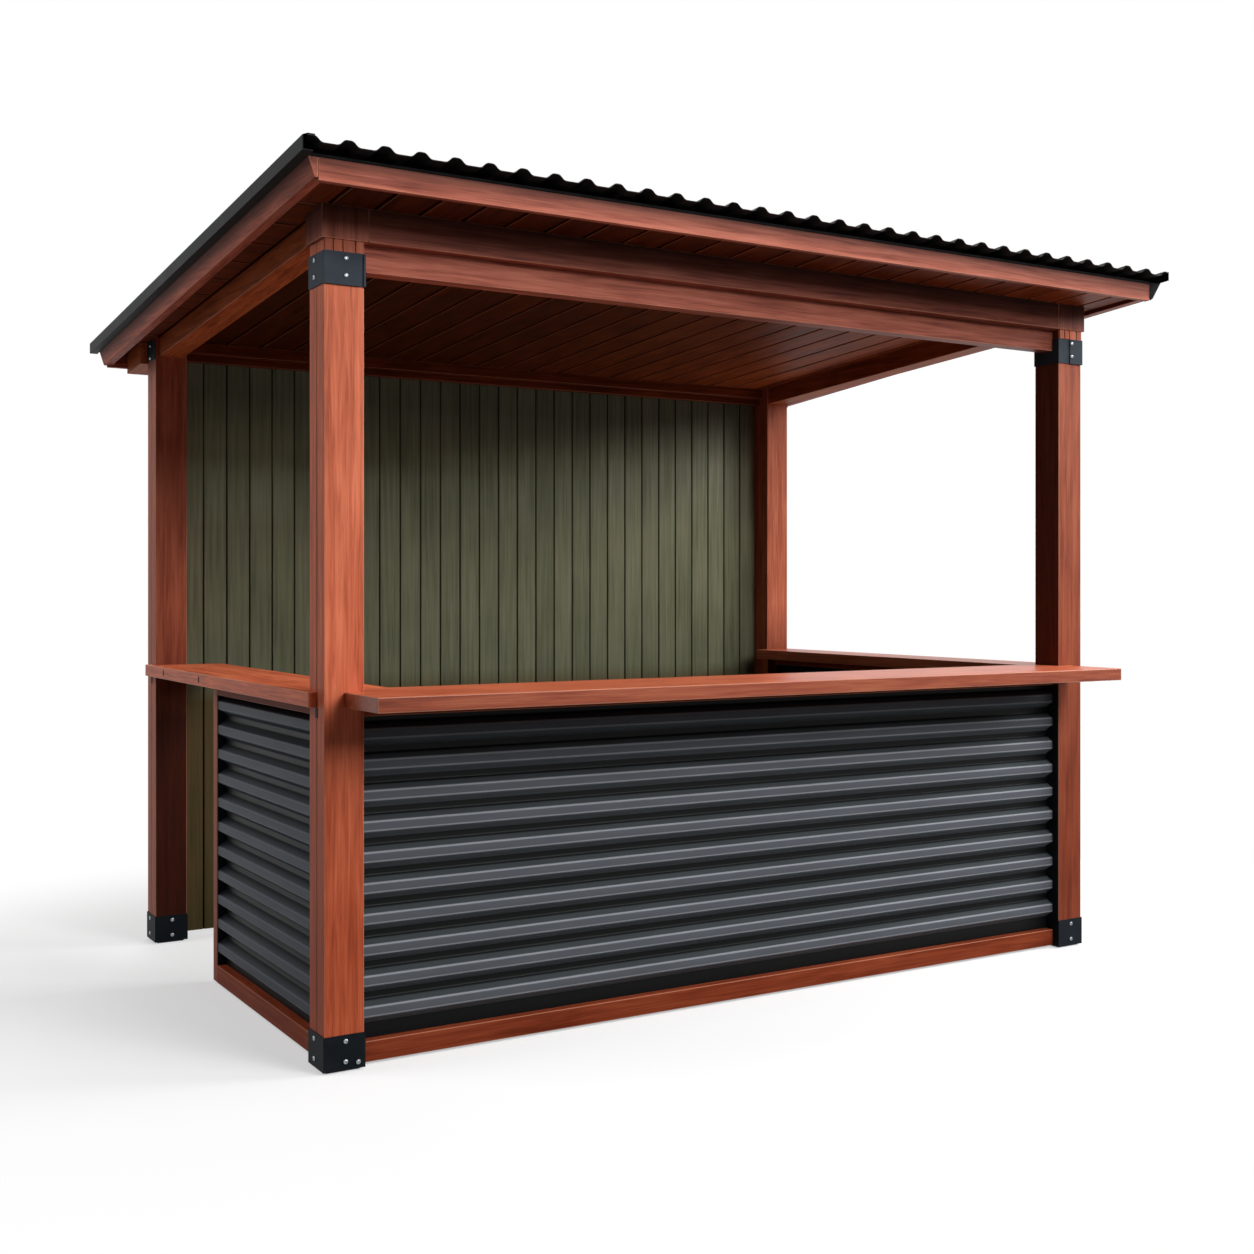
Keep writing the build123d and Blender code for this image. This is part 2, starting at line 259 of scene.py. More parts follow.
def stained_timber(name, axis, shades, rough, gloss, damp=FRONT_FOOT_DARKENING, fade=EVEN, lift=0.0):
    """Wood with streaks along an axis (0, 1 or 2).

    colour = ramp(0.62 streak + 0.22 pore + 0.16 cloud), where each is noise and the coordinates along the
    axis are shrunk. The colour is multiplied by the board's tone, by the foot tone towards the foot, which
    is painted shade under the counter on the rear posts, by the painted shade tone, and along x by the fade,
    which is painted light. Lift mixes in a pale tone for wear and a painted highlight."""
    material, tree, shader, place = blank(name)
    x, _, z = add(tree, "SeparateXYZ", {0: place}).outputs
    board = attribute(tree, "board")
    place = slid(tree, place, board, (3.7, 5.3, 7.1))
    streak_scale, pore_scale = [1.0] * 3, [1.0] * 3
    streak_scale[axis], pore_scale[axis] = STREAK_SHRINK, PORE_SHRINK
    streak = noise(tree, stretched(tree, place, streak_scale), 56.0, 4.0, Roughness=0.62, Distortion=0.5)
    pore = noise(tree, stretched(tree, place, pore_scale), 330.0, 2.0)
    cloud = noise(tree, place, 4.5, 2.0)
    fibre = summed(tree, streak, 0.62, spread(tree, pore, 0.0, 0.22))
    colour = ramp(tree, summed(tree, cloud, 0.16, fibre), list(zip(GRAIN_STOPS, shades)))
    colour = brightened(tree, colour, spread(tree, board, DARKEST, PALEST))
    # Darker towards the foot; on the rear posts' inner faces this is painted shade under the counter.
    if axis == 2:
        dark_from, dark_below, foot_tone = damp
        foot_mix = product(tree, ranged(tree, z, dark_from, dark_below), attribute(tree, "damp"))
        colour = mixed(tree, foot_mix, colour, foot_tone, "MULTIPLY")
    # Painted shade on marked points and faces.
    colour = brightened(tree, colour, spread(tree, attribute(tree, "shelter"), 1.0, PAINTED_SHADE_TONE))
    # Painted light along x, on the roof timbers.
    if axis == 0:
        colour = brightened(tree, colour, spread(tree, ranged(tree, x, PAINTED_LIGHT_FROM, PAINTED_LIGHT_TO), *fade))
    # Pale arris: partly wear, partly a painted highlight.
    if lift:
        colour = mixed(tree, lift, colour, WORN_AND_HIGHLIGHT_WOOD)
    plug(tree, shader, Base_Color=colour, Roughness=spread(tree, fibre, rough - 0.12, rough + 0.16),
         Normal=bumped(tree, fibre, 0.22, 0.002), Specular_IOR_Level=gloss)
    return material


print("stain runs from", DARKEST, "to", PALEST, "times its shade")

# %% [markdown]
# ## One stain, eight finishes
# Every timber has the same stain, but not the same finish: counters are oiled, and
# the ceiling and the rails are darker. A row gives three
# shades of grain as screen colours, the roughness and the gloss, and where they differ
# the foot darkening as (darker from, darkest below, foot tone) and the fade from right to left,
# which is painted light.

# %% Timber finishes
# Rear posts: painted shade under the counter on their inner faces, towards the foot.
REAR_FOOT_SHADE = 1.30, 0.86, (0.094, 0.052, 0.016, 1.0)
# Painted light: roof timbers darker on the right and lighter on the left.
PAINTED_LIGHT_LEFT = (0.70, 1.18)
# Share of the pale arris tone: partly wear, partly a painted highlight.
ARRIS_WEAR_AND_HIGHLIGHT = 0.40
POST_RED = (142, 68, 45), (179, 93, 65), (201, 114, 83)
COUNTER_RED = (140, 60, 38), (186, 90, 58), (210, 118, 80)
FINISHES = {
    "post": (POST_RED, 0.50, 0.10),
    "rear_post": (POST_RED, 0.50, 0.10, REAR_FOOT_SHADE),
    "roof": (((112, 54, 42), (160, 88, 70), (186, 112, 92)), 0.52, 0.07, FRONT_FOOT_DARKENING, PAINTED_LIGHT_LEFT),
    "counter": (COUNTER_RED, 0.36, 0.30),
    "left_counter": (COUNTER_RED, 0.42, 0.08),
    "ceiling": (((70, 28, 10), (107, 46, 19), (134, 65, 30)), 0.50, 0.035),
    "eave": (((118, 55, 26), (164, 84, 46), (190, 106, 64)), 0.52, 0.06),
    "rail": (((110, 44, 24), (140, 62, 37), (158, 77, 48)), 0.52, 0.04),
}
timber = {}
for kind, (screen, *finish) in FINISHES.items():
    shades = [tone(*colour) for colour in screen]
    for axis, letter in enumerate("xyz"):
        made = stained_timber(f"{kind}_stain_{letter}", axis, shades, *finish)
        pale_edge = stained_timber(f"{kind}_arris_{letter}", axis, shades, *finish, lift=ARRIS_WEAR_AND_HIGHLIGHT)
        timber[kind, axis], timber[kind, axis, "arris"] = made, pale_edge
print(len(timber), "timber finishes")

# %% [markdown]
# ## Painted boards
# The back wall is painted olive green over sawn boards. Each board took the paint
# slightly differently, so the tone changes from board to board and thin vertical
# streaks show through. On the inner face light and shade are painted: a band at eye
# height painted lighter, darker above and below it, a top that is painted paler on the
# left than on the right, and a browner, darker foot that is painted shade under the
# counter. The mark called inside keeps this off the back.

# %% Wall paint
OLIVE = [(0.34, tone(80, 81, 59)), (0.50, tone(101, 102, 79)), (0.66, tone(118, 116, 92))]
BOARD_LOW, BOARD_HIGH = 0.62, 1.38
# Painted light and shade on the inner face, by height: lightest at about eye height.
LIT_BAND_FROM, LIT_BAND_TO, LIT_BAND_MOST = 0.9, 2.2, 2.1
LIT_BAND = [(0.0, 0.34), (0.55, 0.67), (0.65, 0.80), (0.74, 0.98), (0.81, 0.98), (0.89, 0.70), (0.97, 0.50)]
BACK_TONE = 1.1
# Painted shade under the counter: the inner foot is browner and darker.
FOOT_SHADE_FROM, FOOT_SHADE_TO = 1.02, 0.92
FOOT_SHADE_TONE = (0.62, 0.43, 0.25, 1.0)
# Painted light at the top of the inner face: paler on the left than on the right.
PATCH_FROM, PATCH_TO, PATCH_HALF = 1.62, 1.85, 1.3
TOP_LEFT = (1.20, 1.45, 1.55, 1.0)
TOP_RIGHT = (0.72, 0.72, 0.78, 1.0)
JOINT_DARK = tone(8, 8, 6)


def wall_paint(name):
    """Olive paint: colour = ramp(0.6 streak + 0.4 cloud) x the board's tone.

    Inside it is also x painted light and shade by height, x a painted light patch at the top that changes
    from right to left, and x the painted shade tone at the foot. Joints are nearly black."""
    material, tree, shader, place = blank(name)
    x, _, z = add(tree, "SeparateXYZ", {0: place}).outputs
    board, inside, joint = (attribute(tree, mark) for mark in ("board", "inside", "joint"))
    place = slid(tree, place, board, (2.9, 0.0, 6.3))
    streak = noise(tree, stretched(tree, place, (1.0, 1.0, 0.03)), 70.0, 5.0, Roughness=0.6)
    cloud = noise(tree, place, 2.2, 3.0)
    colour = ramp(tree, summed(tree, cloud, 0.4, spread(tree, streak, 0.0, 0.6)), OLIVE)
    colour = brightened(tree, colour, spread(tree, board, BOARD_LOW, BOARD_HIGH))
    # Painted light and shade by height.
    stops = [(stop, (value, value, value, 1.0)) for stop, value in LIT_BAND]
    lit_band = product(tree, ramp(tree, ranged(tree, z, LIT_BAND_FROM, LIT_BAND_TO), stops), LIT_BAND_MOST)
    colour = brightened(tree, colour, spread(tree, inside, BACK_TONE, lit_band))
    # Painted light at the top, paler on the left.
    patch = mixed(tree, ranged(tree, x, PATCH_HALF, -PATCH_HALF), TOP_RIGHT, TOP_LEFT)
    top = product(tree, ranged(tree, z, PATCH_FROM, PATCH_TO), inside)
    colour = mixed(tree, top, colour, patch, "MULTIPLY")
    # Painted shade under the counter at the foot.
    foot = product(tree, ranged(tree, z, FOOT_SHADE_FROM, FOOT_SHADE_TO), inside)
    colour = mixed(tree, foot, colour, FOOT_SHADE_TONE, "MULTIPLY")
    colour = mixed(tree, joint, colour, JOINT_DARK)
    plug(tree, shader, Base_Color=colour, Roughness=spread(tree, streak, 0.45, 0.7),
         Normal=bumped(tree, streak, 0.18, 0.002), Specular_IOR_Level=0.12)
    return material


olive_paint = wall_paint("olive_wall_paint")
print("wall paint", olive_paint.name)

# %% [markdown]
# ## Coated and zinc steel
# Roof sheet, trims, aprons and post hardware are steel under a dark coating, which
# is smooth but never flat: a faint ripple and settled dust break the reflection. On
# the aprons light and shade are painted from marks that the sheet carries: painted
# shade in the valleys and at the top under the counter, painted light on the crests,
# painted highlights along the bends and painted bounce light on the flanks that face
# down. The screws are bare zinc, so they are metal.

# %% Steel coatings
RIPPLE_SCALE, RIPPLE_DEEP = 420.0, 0.0006
# Painted shade in the apron valleys.
VALLEY_SHADE, VALLEY_EDGE_SHADE = tone(14, 15, 15), tone(16, 17, 18)
# Painted shade under the counter: the aprons' top darkens to half.
COUNTER_SHADE_FROM, COUNTER_SHADE_TO, COUNTER_SHADE_TONE = 0.98, 0.76, 0.50


def coated_steel(name, colour, dusty, rough, ripple, gloss):
    """Coating: ramp between its colour and its dusty tone over noise, with a fine ripple as bump."""
    material, tree, shader, place = blank(name)
    dust = noise(tree, place, 5.0, 6.0, Roughness=0.65)
    paint = ramp(tree, dust, [(0.35, tone(*colour)), (0.75, tone(*dusty))])
    fine = noise(tree, place, RIPPLE_SCALE, 1.0)
    plug(tree, shader, Base_Color=paint, Roughness=spread(tree, dust, rough - 0.08, rough + 0.14),
         Normal=bumped(tree, fine, ripple, RIPPLE_DEEP), Specular_IOR_Level=gloss)
    return material


def apron_coating(name, *colours):
    """Coating on a ribbed apron, from its colours on the crest, the flank, beneath and at the bends.

    colour = ramp(rib), where rib is the depth stored on the sheet, with painted shade in the valleys and
    painted light on the crest. It is mixed with the tone beneath by under, a painted bounce light on the
    flank that faces down, and with the bend tone by bend, a painted highlight. The top under the counter
    is painted shade and stays half as bright."""
    crest, flank, beneath, pale_edge = (tone(*colour) for colour in colours)
    material, tree, shader, place = blank(name)
    z = add(tree, "SeparateXYZ", {0: place}).outputs["Z"]
    rib, bend, under = (attribute(tree, mark) for mark in ("rib", "bend", "under"))
    dust = noise(tree, stretched(tree, place, (0.12, 0.12, 1.0)), 26.0, 5.0, Roughness=0.6)
    # Painted shade in the valleys and painted light on the crests.
    stops = [(0.0, VALLEY_SHADE), (0.15, VALLEY_EDGE_SHADE), (0.35, flank), (0.80, flank), (1.0, crest)]
    # Painted bounce light on the flanks that face down, painted highlight on the bends.
    colour = mixed(tree, under, ramp(tree, rib, stops), beneath)
    colour = mixed(tree, bend, colour, pale_edge)
    colour = brightened(tree, colour, spread(tree, dust, 0.78, 1.20))
    # Painted shade at the top, under the counter.
    counter_shade = ranged(tree, z, COUNTER_SHADE_FROM, COUNTER_SHADE_TO)
    colour = brightened(tree, colour, spread(tree, counter_shade, COUNTER_SHADE_TONE, 1.0))
    fine = noise(tree, place, RIPPLE_SCALE, 1.0)
    plug(tree, shader, Base_Color=colour, Roughness=spread(tree, dust, 0.36, 0.52),
         Normal=bumped(tree, fine, 0.08, RIPPLE_DEEP), Specular_IOR_Level=0.08)
    return material


def zinc(name):
    """Zinc plate: metal with a spangle of small cells in its tone and roughness."""
    material, tree, shader, place = blank(name)
    cells = add(tree, "TexVoronoi", {"Vector": place, "Scale": 500.0}).outputs["Distance"]
    plate = ramp(tree, cells, [(0.0, tone(168, 172, 176)), (1.0, tone(122, 126, 131))])
    plug(tree, shader, Base_Color=plate, Metallic=1.0, Roughness=spread(tree, cells, 0.22, 0.4))
    return material


steel = {
    "roof": coated_steel("roof_sheet_coating", (24, 24, 25), (36, 35, 35), 0.46, 0.10, 0.12),
    # Darker copy of the trim coating, as painted shade, for the drip edge and the right verge.
    "drip": coated_steel("drip_edge_coating", (10, 10, 11), (17, 17, 18), 0.62, 0.10, 0.03),
    "trim": coated_steel("roof_trim_coating", (17, 19, 20), (27, 29, 30), 0.50, 0.10, 0.08),
    "hardware": coated_steel("hardware_coating", (19, 23, 27), (32, 36, 42), 0.50, 0.35, 0.05),
    "bracket_left": coated_steel("bracket_coating", (50, 56, 64), (68, 75, 84), 0.50, 0.35, 0.05),
    # The right bracket's coating is a darker copy of the left one's: painted shade.
    "bracket_right": coated_steel("right_bracket_coating", (38, 44, 51), (52, 58, 66), 0.50, 0.35, 0.05),
    "apron": apron_coating(
        "apron_sheet_coating", (86, 89, 95), (60, 65, 68), (112, 117, 123), (154, 158, 164)),
    # The side aprons' coating is a darker copy of the front one's: painted shade.
    "side_apron": apron_coating(
        "side_apron_coating", (42, 49, 60), (23, 27, 33), (42, 49, 60), (80, 87, 98)),
}
zinc_plate = zinc("zinc_screw")
print(len(steel) + 1, "steel finishes")

# %% [markdown]
# ## Marks on the wood
# The finishes read marks from the pieces, and these functions write them. A tone is
# picked by name where the photograph shows it, and scattered otherwise; the tones by
# name hold painted light and shade as well as the stain. Boards under the roof get
# painted shade towards their top, and the lower beam towards the right. Single faces
# get painted shade: the front counter's edges, the front right post's inner face and
# the right bargeboard's faces. Front posts darken towards the foot on every face, rear
# posts on their inner face only, as painted shade under the counter.

# %% Marks
GOLDEN = 0.6180339
PLAIN_TONE, SCATTER = 0.82, 0.16
# Tones by name hold painted light and shade as well as the stain's own tone.
TONES = {
    "post_front_left": 1.34, "post_front_right": 0.58, "post_rear_left": 0.84, "post_rear_right": 0.85,
    "front_beam_upper": 0.80, "front_beam_lower": 1.17, "fascia_front": 1.24, "fascia_rear": 1.24,
    "bargeboard_left": 1.60, "bargeboard_right": 1.40, "side_beam_left": 1.56, "side_beam_right": 0.80,
    "post_cap_left": 0.90, "post_cap_right": 0.62, "counter_left": 1.38, "counter_front": 1.33,
    "bottom_rail_left": 1.15,
}


def number_of(name):
    """A steady number for a piece's name: 0 is the darkest stain and 1 the palest."""
    scattered = sum((i + 1) * ord(c) for i, c in enumerate(name)) * GOLDEN % 1.0
    return (TONES.get(name, PLAIN_TONE + SCATTER * scattered) - DARKEST) / (PALEST - DARKEST)


def mark(mesh, name, domain, values):
    """Stores one value per point or per face under a name."""
    values = np.ascontiguousarray(values, np.float32)
    mesh.attributes.new(name, "FLOAT", domain).data.foreach_set("value", values)


# Painted shade: darker towards the top under the roof, and towards the right on the lower beam.
UNDER_ROOF = "fascia_front fascia_rear bargeboard_left front_beam_upper post_cap_left post_cap_right"
DARKENED = dict.fromkeys(UNDER_ROOF.split(), (1.0, lambda p: p[:, 2] - roof_line(p[:, 1])))
DARKENED["front_beam_lower"] = 0.34, lambda p: p[:, 0]
UP, LEFTWARD, FRONTWARD = (0, 0, 1), (-1, 0, 0), (0, -1, 0)
# Painted shade on single faces: the counter's edges, the right post's inner face, the right bargeboard.
MARKED_FACES = [
    ("counter_front", "shelter", UP, 0.0, 0.64),
    ("post_front_right", "shelter", LEFTWARD, 0.66, 0.0),
    ("bargeboard_right", "shelter", LEFTWARD, 0.86, 0.387),
]
# Posts and the end stud darken towards the foot on every face; rear posts only on their inner face, as
# painted shade under the counter.
for node in ("post_front_left", "post_front_right", "end_stud", "post_rear_left", "post_rear_right"):
    MARKED_FACES.append((node, "damp", FRONTWARD, 1.0, 0.0 if "rear" in node else 1.0))


def darken_along(mesh, most, measure):
    """Painted shade at each point = most x (m - lowest) / (highest - lowest), with m the measure."""
    flat = np.empty(len(mesh.vertices) * 3)
    mesh.vertices.foreach_get("co", flat)
    along = measure(flat.reshape(-1, 3))
    mark(mesh, "shelter", "POINT", most * (along - along.min()) / (along.max() - along.min()))


def mark_faces(mesh, name, way, there, elsewhere):
    """Value on each face: there if normal . way > 0.5, else elsewhere."""
    values = [there if face.normal.dot(way) > 0.5 else elsewhere for face in mesh.polygons]
    mark(mesh, name, "FACE", values)


print(len(TONES), "tones by name,", len(DARKENED), "darkened pieces")

# %% [markdown]
# ## From the frame's solids to worked timber
# Real posts and beams have softened arrises that catch the light as a thin line.
# The frame's pieces come as loose triangles, so a copy is merged first, the flat
# triangles are joined into whole faces, and a Bevel modifier rounds every edge.
# The bevel's faces take the second material, a paler wood for wear and a painted highlight.

# %% Working a piece
def reworked(mesh, *steps):
    """Runs steps on a mesh's editable form and writes it back."""
    form = bmesh.new()
    form.from_mesh(mesh)
    for step in steps:
        step(form)
    form.to_mesh(mesh)
    form.free()


def points_merged(distance):
    """Step that joins points closer than a distance."""
    return lambda form: bmesh.ops.remove_doubles(form, verts=form.verts, dist=distance)


def flats_joined(form):
    """Step that joins faces which lie in one plane."""
    bmesh.ops.dissolve_limit(form, angle_limit=math.radians(0.5), verts=form.verts, edges=form.edges)


def faces_outward(form):
    """Step that turns all faces outward."""
    bmesh.ops.recalc_face_normals(form, faces=form.faces)


def join_in(obj, slot, *replaced):
    """Hangs a finished piece on the body and hides the nodes that it stands for; its slot is not used."""
    bpy.context.scene.collection.objects.link(obj)
    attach(obj, "root")
    if replaced:
        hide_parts(*replaced)
    return obj


def round_arrises(obj, width, steps=2):
    """Bevel on every sharp edge, its faces in the second material, and weighted normals."""
    bevel = obj.modifiers.new("arris", "BEVEL")
    bevel.width = width
    bevel.segments = steps
    bevel.limit_method = "ANGLE"
    bevel.angle_limit = math.radians(35)
    bevel.material = 1 if len(obj.data.materials) > 1 else -1
    normals = obj.modifiers.new("normals", "WEIGHTED_NORMAL")
    normals.keep_sharp = True
    obj.data.shade_smooth()
    return obj


def worked_copy(node, finish, slot, width, arris=None):
    """Merged copy of a frame piece with a finish, its marks and rounded arrises."""
    mesh = nodes[node].data.copy()
    reworked(mesh, points_merged(1e-5), flats_joined)
    mesh.materials.clear()
    mesh.materials.append(finish)
    if arris:
        mesh.materials.append(arris)
    mesh.polygons.foreach_set("material_index", np.zeros(len(mesh.polygons), np.int32))
    mark(mesh, "board", "FACE", np.full(len(mesh.polygons), number_of(node)))
    if node in DARKENED:
        darken_along(mesh, *DARKENED[node])
    for piece, *face_mark in MARKED_FACES:
        if piece == node:
            mark_faces(mesh, *face_mark)
    obj = bpy.data.objects.new(node + "_worked", mesh)
    join_in(obj, slot, node)
    return round_arrises(obj, width)


print("a post's tone number is", round(number_of("post_front_left"), 3))

# %% [markdown]
# ## The frame, piece by piece
# A row names the finish, the axis along which the grain runs, the width of the
# rounded arris and the pieces. Steel edges are rounded far less. The two brackets
# at the front have coatings of their own: the right one's is darker, as painted shade.

# %% Worked copies
TIMBERS = [
    ("post", 2, 0.0035, "post_front_left post_front_right end_stud"),
    ("rear_post", 2, 0.0035, "post_rear_left post_rear_right"),
    ("roof", 0, 0.0025, "front_beam_lower front_beam_upper fascia_front fascia_rear"),
    ("roof", 1, 0.0025, "bargeboard_left bargeboard_right"),
    ("eave", 1, 0.0025, "side_beam_left side_beam_right"),
    ("ceiling", 0, 0.0020, "rear_beam wall_rail roof_batten_1 roof_batten_2 roof_batten_3"),
    ("counter", 0, 0.0030, "counter_front"),
    ("counter", 1, 0.0030, "counter_right"),
    ("left_counter", 1, 0.0030, "counter_left"),
    ("rail", 0, 0.0025, "bottom_rail_front top_rail_front"),
    ("rail", 1, 0.0025, "bottom_rail_left bottom_rail_right top_rail_left top_rail_right"),
]
HARDWARE_EDGE, TRIM_EDGE = 0.0012, 0.0008
for kind, axis, width, names in TIMBERS:
    for node in names.split():
        slot = "counter_timber" if kind.endswith("counter") else "timber"
        worked_copy(node, timber[kind, axis], slot, width, timber[kind, axis, "arris"])
for node in nodes:
    if node.startswith(("shoe_", "bracket_")):
        coating = steel[node.replace("_front", "") if node.startswith("bracket_front") else "hardware"]
        worked_copy(node, coating, "bracket_steel", HARDWARE_EDGE)
# The right verge and the drip edge take the darker coating, as painted shade.
for node in ("verge_trim_left", "verge_trim_right", "drip_edge"):
    worked_copy(node, steel["trim" if node == "verge_trim_left" else "drip"], "trim_steel", TRIM_EDGE)

# %% [markdown]
# ## Boards as carried profiles
# A board is the simplest swept surface: a ring of corners carried along a straight
# path. One function makes any number of boards at once, because the rings of all
# boards sit in one array, and adding the path to it gives every point in one sum.

# %% Carrying rings
BOARD_TONES = (0.41, 0.58)


def carried(name, rings, path, tones=BOARD_TONES, **marks):
    """Closed boards: point (board, step, corner) = ring[board, corner] + path[step].

    Quads join each step to the next, and each board's first and last rings close it. A board's number
    lies at random between two tones. Marks are values per corner that stay with the points."""
    count, corners = rings.shape[:2]
    steps = len(path)
    points = rings[:, None, :, :] + np.asarray(path, float)[None, :, None, :]
    index = np.arange(count * steps * corners).reshape(count, steps, corners)
    near, far = index[:, :-1], index[:, 1:]
    sides = np.stack([near, np.roll(near, -1, 2), np.roll(far, -1, 2), far], -1).reshape(-1, 4)
    ends = np.concatenate([index[:, 0, ::-1], index[:, -1]])
    mesh = bpy.data.meshes.new(name)
    mesh.from_pydata(points.reshape(-1, 3), [], sides.tolist() + ends.tolist())
    reworked(mesh, faces_outward)
    random = np.random.default_rng(len(name) + count).random(count)
    each = np.arange(count)
    owner = np.concatenate([np.repeat(each, (steps - 1) * corners), each, each])
    low, high = tones
    mark(mesh, "board", "FACE", (low + (high - low) * random)[owner])
    for key, values in marks.items():
        mark(mesh, key, "POINT", np.broadcast_to(values, (count, steps, corners)).ravel())
    return bpy.data.objects.new(name, mesh)


def dress(obj, *materials):
    """Gives a piece its finishes in order."""
    for material in materials:
        obj.data.materials.append(material)
    return obj


def timber_boards(boards, kind, axis, width, *replaced):
    """Stains carried boards along an axis, rounds their arrises and hangs them on the body."""
    dress(boards, timber[kind, axis], timber[kind, axis, "arris"])
    return round_arrises(join_in(boards, "timber", *replaced), width, 1)


print("boards are toned between", *BOARD_TONES)

# %% [markdown]
# ## The boarded back
# The wall is thirty upright boards whose edges are cut to a V, so that every joint
# is a dark line on both sides of the wall. Modelling the V, instead of drawing the
# line, lets the light do it from every angle.

# %% Wall boards
WALL_BOARDS = 30
JOINT_HALF = 0.0042
JOINT_DEPTH = 0.0085
WALL_GAP = 0.0005
IN_JOINT = [0, 0, 1, 1, 0, 0, 1, 1]
ON_INNER_FACE = [1, 1, 1, 0, 0, 0, 0, 1]
wall_low, wall_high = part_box("back_wall")
edges = np.linspace(wall_low.x, wall_high.x, WALL_BOARDS + 1)
x0, x1 = edges[:-1], edges[1:]
y0, y1 = np.full(WALL_BOARDS, wall_low.y), np.full(WALL_BOARDS, wall_high.y)
ring_x = np.stack([x0 + JOINT_HALF, x1 - JOINT_HALF, x1, x1, x1 - JOINT_HALF, x0 + JOINT_HALF, x0, x0], 1)
ring_y = np.stack([y0, y0, y0 + JOINT_DEPTH, y1 - JOINT_DEPTH, y1, y1, y1 - JOINT_DEPTH, y0 + JOINT_DEPTH], 1)
rings = np.stack([ring_x, ring_y, np.full_like(ring_x, wall_low.z)], 2)
rise = soffit(wall_high.y) - WALL_GAP - wall_low.z
boards = carried("wall_boards", rings, [(0, 0, 0), (0, 0, rise)], joint=IN_JOINT, inside=ON_INNER_FACE)
join_in(dress(boards, olive_paint), "wall_boards", "back_wall")
print("wall boards", WALL_BOARDS, "of", round(edges[1] - edges[0], 4), "m")

# %% [markdown]
# ## The boarded ceiling
# Boards run from the front eave to the rear eave with open joints, and above them
# it is dark. They are toned from dark on the left to pale on the right, as painted
# light and shade for the light that comes in under the roof on the right.

# %% Ceiling boards
CEILING_BOARDS = 22
OPEN_JOINT = 0.014
CEILING_EDGE = 0.002
# Painted light and shade: the boards run from these dark tones on the left to pale on the right.
LEFT_TONES, RIGHT_TONES = (0.12, 0.21), (0.96, 1.00)
CEILING_LIGHT_POWER = 2.6
beam_out = LEFT + 0.015


def roof_rings(x0, x1, y):
    """Rings of boards that run down the roof: x from x0 to x1, from the soffit up one thickness."""
    low = np.full_like(x0, soffit(y))
    ring_x = np.stack([x0, x1, x1, x0], 1)
    ring_z = np.stack([low, low, low + DECK_THICK, low + DECK_THICK], 1)
    return np.stack([ring_x, np.full_like(ring_x, y), ring_z], 2)


def down_roof(run):
    """Path down the roof's slope over a run."""
    return [(0, 0, 0), (0, run, -SLOPE * run)]


edges = np.linspace(beam_out, -beam_out, CEILING_BOARDS + 1)
rings = roof_rings(edges[:-1] + OPEN_JOINT / 2, edges[1:] - OPEN_JOINT / 2, deck_low.y)
paler = np.linspace(0, 1, CEILING_BOARDS) ** CEILING_LIGHT_POWER
toning = [left + (right - left) * paler for left, right in zip(LEFT_TONES, RIGHT_TONES)]
ceiling = carried("ceiling_boards", rings, down_roof(deck_high.y - deck_low.y), toning)
timber_boards(ceiling, "ceiling", 1, CEILING_EDGE, "roof_deck")
print("ceiling boards", CEILING_BOARDS)

# %% [markdown]
# ## Boards in the side eaves
# In the side eaves the boards are short and lie across, so that their joints show
# as a row of slits along the side beams. The corner at the front is one board that
# runs with the ceiling.

# %% Eave boards
EAVE_PITCH = 0.228
EAVE_FIRST = 0.240
EAVE_JOINT = 0.016
EAVE_REST = 0.02
eave_start = FRONT + EAVE_FIRST - EAVE_PITCH


def cross_rings(y0, y1, x):
    """Rings of boards that lie across the eave: y from y0 to y1, following the slope."""
    ring_y = np.stack([y0, y1, y1, y0], 1)
    ring_z = soffit(ring_y) + np.array([0, 0, DECK_THICK, DECK_THICK])
    return np.stack([np.full_like(ring_y, x), ring_y, ring_z], 2)


starts = np.arange(eave_start, deck_high.y - EAVE_REST, EAVE_PITCH)
ends = np.append(starts[1:], deck_high.y)
for side, name in ((1, "left"), (-1, "right")):
    outer, inner = sorted((side * deck_low.x, side * beam_out))
    corner_x = np.array([outer + OPEN_JOINT / 2]), np.array([inner - OPEN_JOINT / 2])
    corner_path = down_roof(eave_start - deck_low.y)
    corner = carried(f"eave_corner_{name}", roof_rings(*corner_x, deck_low.y), corner_path)
    timber_boards(corner, "ceiling", 1, CEILING_EDGE)
    rings = cross_rings(starts + EAVE_JOINT / 2, ends - EAVE_JOINT / 2, outer)
    eave = carried(f"eave_boards_{name}", rings, [(0, 0, 0), (inner - outer - OPEN_JOINT / 2, 0, 0)])
    timber_boards(eave, "ceiling", 0, CEILING_EDGE)
print("eave boards", len(starts), "on each side")

# %% [markdown]
# ## Ribbed sheet
# Roof and aprons are rolled steel. Rolling leaves bends, not creases: a bright line
# runs along each one. The section is a line through the corners of every rib, each
# corner is replaced by a short curve, and the same line one thickness lower closes
# the section, which is then carried along the sheet.

# %% Rib sections
SHEET = 0.002
BEND_STEPS = 5
SIDE_PER_BEND = 2.2
# Painted highlight on the bends of each rib: foot, brow, brow, foot.
BROW_HIGHLIGHT = [0.0, 1.0, 0.7, 0.0]


def softened(line, radius):
    """Open line with curved corners: (1-s)^2 a + 2 s (1-s) p + s^2 b, with a and b radius away from p."""
    p = line[1:-1]

    def towards(other):
        way = other - p
        length = np.linalg.norm(way, axis=1)[:, None]
        return (p + way * (np.minimum(radius, length / SIDE_PER_BEND) / length))[:, None]

    s = np.linspace(0, 1, BEND_STEPS)[None, :, None]
    bends = (1 - s) ** 2 * towards(line[:-2]) + 2 * s * (1 - s) * p[:, None] + s**2 * towards(line[2:])
    return np.vstack([line[:1], bends.reshape(-1, 2), line[-1:]])


